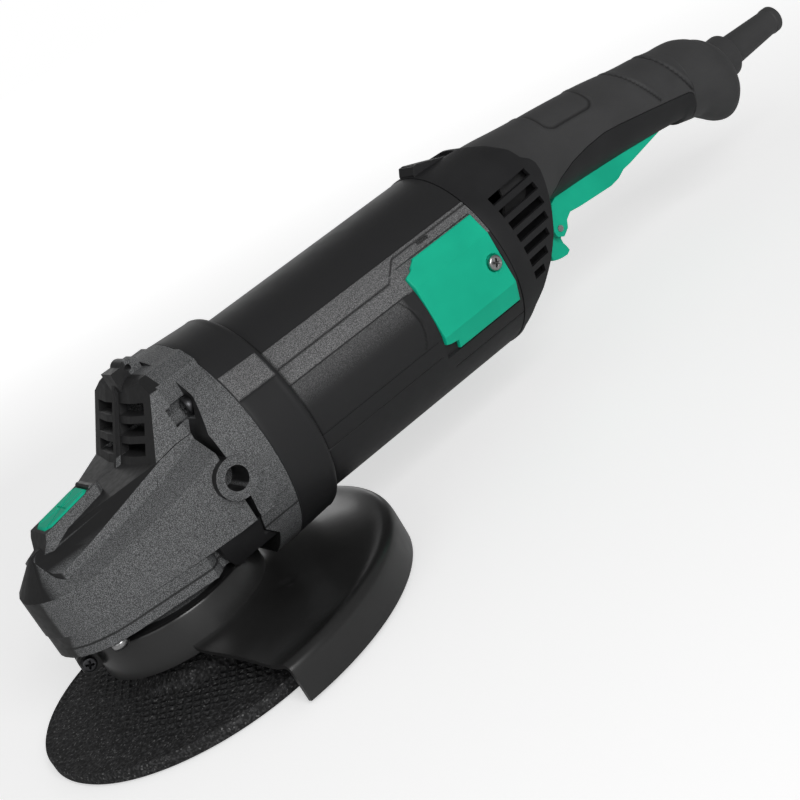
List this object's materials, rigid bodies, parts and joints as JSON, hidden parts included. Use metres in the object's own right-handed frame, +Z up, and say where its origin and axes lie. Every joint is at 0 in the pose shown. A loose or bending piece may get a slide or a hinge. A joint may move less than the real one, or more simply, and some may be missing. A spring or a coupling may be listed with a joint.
{
  "type": "angle grinder",
  "caption": "Two-handed mains angle grinder: bevel-geared spindle with depressed-centre wheel and turning guard, motor housing, turning rear handle with switch lever.",
  "frame": {"origin": "centre of the lock nut's lower face, on the spindle's axis", "axes": "+X from the spindle along the motor towards the rear handle, +Z up the spindle away from the wheel"},
  "size_m": [0.577, 0.22, 0.1435],
  "materials": {
    "cast_housing": "textured black die casting",
    "dark_plastic": "fine satin",
    "housing_plastic": "smooth top, grained sides",
    "soft_grip": "matt soft-touch",
    "green_plastic": "satin",
    "guard_paint": "gloss black powder coat",
    "abrasive": "coarse grain with glass mesh",
    "steel": "turned",
    "dark_steel": "oiled",
    "zinc": "bright zinc",
    "lamination": "stacked sheet",
    "copper": "enamelled wire",
    "brass": "satin",
    "carbon": "matt",
    "felt": "felt",
    "white_plastic": "satin"
  },
  "bodies": {
    "housing": {"gear_housing": "cast_housing", "gear_cover": "cast_housing", "gear_cover_screws": "zinc", "flange_screws": "zinc", "exhaust_deflectors": "dark_plastic", "spindle_bearing": "steel", "bearing_retainer": "steel", "needle_bearing": "steel", "felt_seal": "felt", "lock_spring": "steel", "front_collar": "dark_plastic", "motor_housing": "housing_plastic", "fan_baffle": "white_plastic", "front_bearing": "steel", "rear_bearing": "steel", "stator_core": "lamination", "stator_coils": "copper", "brush_cover_left": "green_plastic", "brush_cover_right": "green_plastic", "brush_cover_screws": "zinc", "brush_holders": "brass", "carbon_brushes": "carbon", "brush_springs": "steel"},
    "spindle": {"spindle": "steel", "inner_flange": "dark_steel", "grinding_wheel": "abrasive", "lock_nut": "dark_steel", "crown_gear": "dark_steel"},
    "armature": {"armature_shaft": "steel", "armature_core": "lamination", "armature_windings": "copper", "commutator": "copper", "cooling_fan": "white_plastic", "pinion": "dark_steel", "pinion_nut": "steel"},
    "guard": {"guard": "guard_paint", "guard_clamp_screw": "zinc", "guard_clamp_nut": "zinc"},
    "lock_button": {"lock_button": "green_plastic", "lock_pin": "steel"},
    "rear_handle": {"rear_cover": "dark_plastic", "handle_left": "dark_plastic", "handle_right": "dark_plastic", "handle_grip": "soft_grip", "rear_ring": "soft_grip", "cord_guard": "soft_grip", "cord_clamp": "dark_plastic", "switch_body": "dark_plastic", "lever_pin": "steel", "lever_spring": "steel"},
    "handle_latch": {"handle_latch": "dark_plastic"},
    "switch_lever": {"switch_lever": "green_plastic", "lock_off_pin": "zinc"},
    "lock_off_lever": {"lock_off_lever": "green_plastic"},
    "switch_plunger": {"switch_plunger": "carbon"}
  },
  "joints": [
    {"name": "spindle_spin", "type": "hinge", "parent": "housing", "child": "spindle", "pos_m": [0, 0, 0.044], "axis": [0, 0, 1], "continuous": true},
    {"name": "armature_spin", "type": "hinge", "parent": "housing", "child": "armature", "pos_m": [0.12, 0, 0.081], "axis": [1, 0, 0], "continuous": true},
    {"name": "guard_turn", "type": "hinge", "parent": "housing", "child": "guard", "pos_m": [0, 0, 0.035], "axis": [0, 0, 1], "range_deg": [-90, 90]},
    {"name": "lock_button_press", "type": "slide", "parent": "housing", "child": "lock_button", "axis": [0, 0, -1], "range_m": [0, 0.004], "stiffness_N_per_m": 900, "springref_m": -0.002, "deforming": ["lock_spring"]},
    {"name": "handle_turn", "type": "hinge", "parent": "housing", "child": "rear_handle", "pos_m": [0.22, 0, 0.081], "axis": [1, 0, 0], "range_deg": [-90, 90]},
    {"name": "latch_slide", "type": "slide", "parent": "rear_handle", "child": "handle_latch", "axis": [1, 0, 0], "range_m": [0, 0.004], "stiffness_N_per_m": 600, "springref_m": -0.002},
    {"name": "lever_press", "type": "hinge", "parent": "rear_handle", "child": "switch_lever", "pos_m": [0.384, 0, 0.0755], "axis": [0, 1, 0], "range_deg": [0, 5], "stiffness_Nm_per_rad": 3, "springref_deg": -8.59, "deforming": ["lever_spring"]},
    {"name": "lock_off_press", "type": "hinge", "parent": "switch_lever", "child": "lock_off_lever", "pos_m": [0.282, 0, 0.0624], "axis": [0, -1, 0], "range_deg": [0, 20], "stiffness_Nm_per_rad": 0.05, "springref_deg": -17.19},
    {"name": "plunger_slide", "type": "slide", "parent": "rear_handle", "child": "switch_plunger", "axis": [0, 0, 1], "range_m": [0, 0.005]}
  ],
  "couplings": [
    {"joint": "armature_spin", "follows": "spindle_spin", "ratio": 4.1},
    {"joint": "plunger_slide", "follows": "lever_press", "m_per_rad": 0.055}
  ]
}
